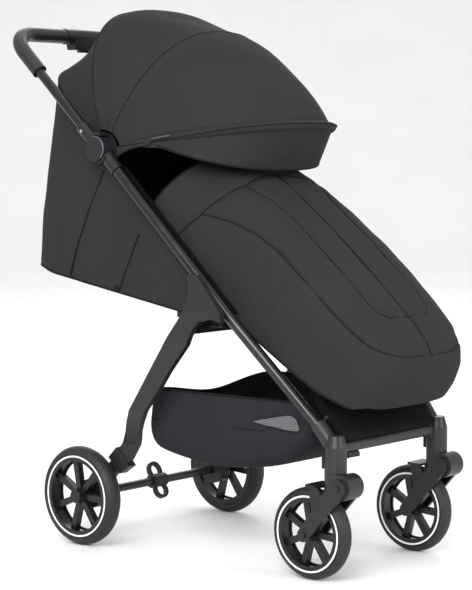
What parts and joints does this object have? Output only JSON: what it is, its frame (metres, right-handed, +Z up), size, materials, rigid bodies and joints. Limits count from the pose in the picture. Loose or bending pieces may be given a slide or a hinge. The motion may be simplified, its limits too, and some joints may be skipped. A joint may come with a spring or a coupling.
{
  "type": "baby stroller",
  "caption": "Folding baby stroller with canopy, footmuff, reclined seat, shopping basket, swivelling front casters and a push bar handle.",
  "frame": {"origin": "on the floor under the middle of the outline", "axes": "+Z up, -Y the way the child faces and the stroller rolls forward, +X to the child's left"},
  "size_m": [0.494, 0.9347, 1.0899],
  "materials": {
    "tube_paint": "satin black",
    "leg_plastic": "fine matt grain",
    "axle_paint": "satin black",
    "bracket_plastic": "satin dark grey",
    "fork_plastic": "fine matt grain",
    "hub_plastic": "satin black",
    "black_plastic": "matt black",
    "rim_plastic": "satin black",
    "tyre_rubber": "matt rubber",
    "reflector": "white reflective",
    "grip_leatherette": "grained",
    "hood_cloth": "plain woven charcoal",
    "muff_cloth": "plain woven charcoal",
    "seat_cloth": "plain woven black",
    "basket_cloth": "plain woven, slightly blue",
    "webbing": "woven webbing",
    "rivet_steel": "bright"
  },
  "bodies": {
    "chassis": {"main_tube_right": "tube_paint", "main_tube_left": "tube_paint", "front_bracket": "bracket_plastic", "bracket_clip": "black_plastic", "hub_base_right": "hub_plastic", "hub_base_left": "hub_plastic", "seat_base": "black_plastic", "seat_pad": "seat_cloth", "side_rail_cloth": "seat_cloth", "calf_rest": "seat_cloth", "calf_rivets": "rivet_steel", "adjuster_strap": "webbing", "harness_buckle": "black_plastic", "canopy_bow_rear": "black_plastic", "canopy_clips": "hub_plastic", "back_cloth": "hood_cloth", "footmuff": "muff_cloth", "basket": "basket_cloth"},
    "rear_frame": {"rear_leg_right": "leg_plastic", "rear_leg_left": "leg_plastic", "leg_pivot_pins": "rivet_steel", "axle_housing_right": "leg_plastic", "axle_housing_left": "leg_plastic", "axle_tube": "axle_paint", "axle_caps": "black_plastic"},
    "brake": {"brake_pedal": "leg_plastic"},
    "handle": {"handle_bar": "tube_paint", "handle_grips": "grip_leatherette", "fold_housing": "hub_plastic", "hub_cap_right": "hub_plastic", "hub_cap_left": "hub_plastic", "socket_rivets": "rivet_steel"},
    "fold_button": {"fold_button": "black_plastic"},
    "fold_latch": {"fold_latch": "black_plastic"},
    "backrest": {"backrest_board": "black_plastic", "harness_straps": "webbing"},
    "canopy_mid": {"canopy_bow_mid": "black_plastic", "canopy_rear_panel": "hood_cloth"},
    "canopy_front": {"canopy_bow_front": "black_plastic", "canopy_front_panel": "hood_cloth"},
    "visor": {"visor_bow": "black_plastic", "visor_panel": "hood_cloth"},
    "caster_right": {"caster_swivel_right": "bracket_plastic"},
    "caster_left": {"caster_swivel_left": "bracket_plastic"},
    "fork_right": {"caster_fork_right": "fork_plastic"},
    "fork_left": {"caster_fork_left": "fork_plastic"},
    "lock_right": {"caster_lock_right": "fork_plastic"},
    "lock_left": {"caster_lock_left": "fork_plastic"},
    "wheel_front_right": {"tyre_front_right": "tyre_rubber", "rim_front_right": "rim_plastic", "ring_front_right": "reflector"},
    "wheel_front_left": {"tyre_front_left": "tyre_rubber", "rim_front_left": "rim_plastic", "ring_front_left": "reflector"},
    "wheel_rear_right": {"tyre_rear_right": "tyre_rubber", "rim_rear_right": "rim_plastic", "ring_rear_right": "reflector"},
    "wheel_rear_left": {"tyre_rear_left": "tyre_rubber", "rim_rear_left": "rim_plastic", "ring_rear_left": "reflector"}
  },
  "joints": [
    {"name": "rear_leg_fold", "type": "hinge", "parent": "chassis", "child": "rear_frame", "pos_m": [0, -0.11321, 0.518], "axis": [1, 0, 0], "range_deg": [-42, 0], "deforming": ["basket"]},
    {"name": "handle_fold", "type": "hinge", "parent": "chassis", "child": "handle", "pos_m": [0, 0.18679, 0.806], "axis": [1, 0, 0], "range_deg": [-120, 0], "deforming": ["back_cloth"]},
    {"name": "brake_press", "type": "hinge", "parent": "rear_frame", "child": "brake", "pos_m": [0, 0.23779, 0.101], "axis": [1, 0, 0], "range_deg": [-18, 0]},
    {"name": "fold_button_press", "type": "slide", "parent": "handle", "child": "fold_button", "axis": [0, 0, 1], "range_m": [0, 0.004], "stiffness_N_per_m": 400, "springref_m": -0.003},
    {"name": "fold_latch_press", "type": "slide", "parent": "handle", "child": "fold_latch", "axis": [0, 0, 1], "range_m": [0, 0.004], "stiffness_N_per_m": 300, "springref_m": -0.002},
    {"name": "backrest_recline", "type": "hinge", "parent": "chassis", "child": "backrest", "pos_m": [0, -0.00121, 0.503], "axis": [1, 0, 0], "range_deg": [0, 48]},
    {"name": "canopy_mid_fold", "type": "hinge", "parent": "chassis", "child": "canopy_mid", "pos_m": [0, 0.18679, 0.806], "axis": [1, 0, 0], "range_deg": [-38, 0], "deforming": ["canopy_rear_panel"]},
    {"name": "canopy_front_fold", "type": "hinge", "parent": "canopy_mid", "child": "canopy_front", "pos_m": [0, 0.18679, 0.806], "axis": [1, 0, 0], "range_deg": [-38, 0], "deforming": ["canopy_front_panel"]},
    {"name": "visor_fold", "type": "hinge", "parent": "canopy_front", "child": "visor", "pos_m": [0, 0.05779, 0.815], "axis": [1, 0, 0], "range_deg": [-12, 0], "deforming": ["visor_panel"]},
    {"name": "caster_turn_right", "type": "hinge", "parent": "chassis", "child": "caster_right", "pos_m": [-0.164, -0.36671, 0.208], "axis": [0, 0, 1], "continuous": true},
    {"name": "fork_spring_right", "type": "hinge", "parent": "caster_right", "child": "fork_right", "pos_m": [-0.164, -0.39221, 0.184], "axis": [1, 0, 0], "range_deg": [0, 4], "stiffness_Nm_per_rad": 60, "springref_deg": -14.32},
    {"name": "front_wheel_spin_right", "type": "hinge", "parent": "fork_right", "child": "wheel_front_right", "pos_m": [-0.164, -0.31221, 0.0875], "axis": [1, 0, 0], "continuous": true},
    {"name": "rear_wheel_spin_right", "type": "hinge", "parent": "rear_frame", "child": "wheel_rear_right", "pos_m": [-0.226, 0.23779, 0.101], "axis": [1, 0, 0], "continuous": true},
    {"name": "caster_lock_slide_right", "type": "slide", "parent": "chassis", "child": "lock_right", "axis": [0, 0, 1], "range_m": [0, 0.006]},
    {"name": "caster_turn_left", "type": "hinge", "parent": "chassis", "child": "caster_left", "pos_m": [0.164, -0.36671, 0.208], "axis": [0, 0, 1], "continuous": true},
    {"name": "fork_spring_left", "type": "hinge", "parent": "caster_left", "child": "fork_left", "pos_m": [0.164, -0.39221, 0.184], "axis": [1, 0, 0], "range_deg": [0, 4], "stiffness_Nm_per_rad": 60, "springref_deg": -14.32},
    {"name": "front_wheel_spin_left", "type": "hinge", "parent": "fork_left", "child": "wheel_front_left", "pos_m": [0.164, -0.31221, 0.0875], "axis": [1, 0, 0], "continuous": true},
    {"name": "rear_wheel_spin_left", "type": "hinge", "parent": "rear_frame", "child": "wheel_rear_left", "pos_m": [0.226, 0.23779, 0.101], "axis": [1, 0, 0], "continuous": true},
    {"name": "caster_lock_slide_left", "type": "slide", "parent": "chassis", "child": "lock_left", "axis": [0, 0, 1], "range_m": [0, 0.006]}
  ],
  "couplings": [
    {"joint": "rear_leg_fold", "follows": "handle_fold", "ratio": 0.35},
    {"joint": "canopy_front_fold", "follows": "canopy_mid_fold", "ratio": 1}
  ]
}
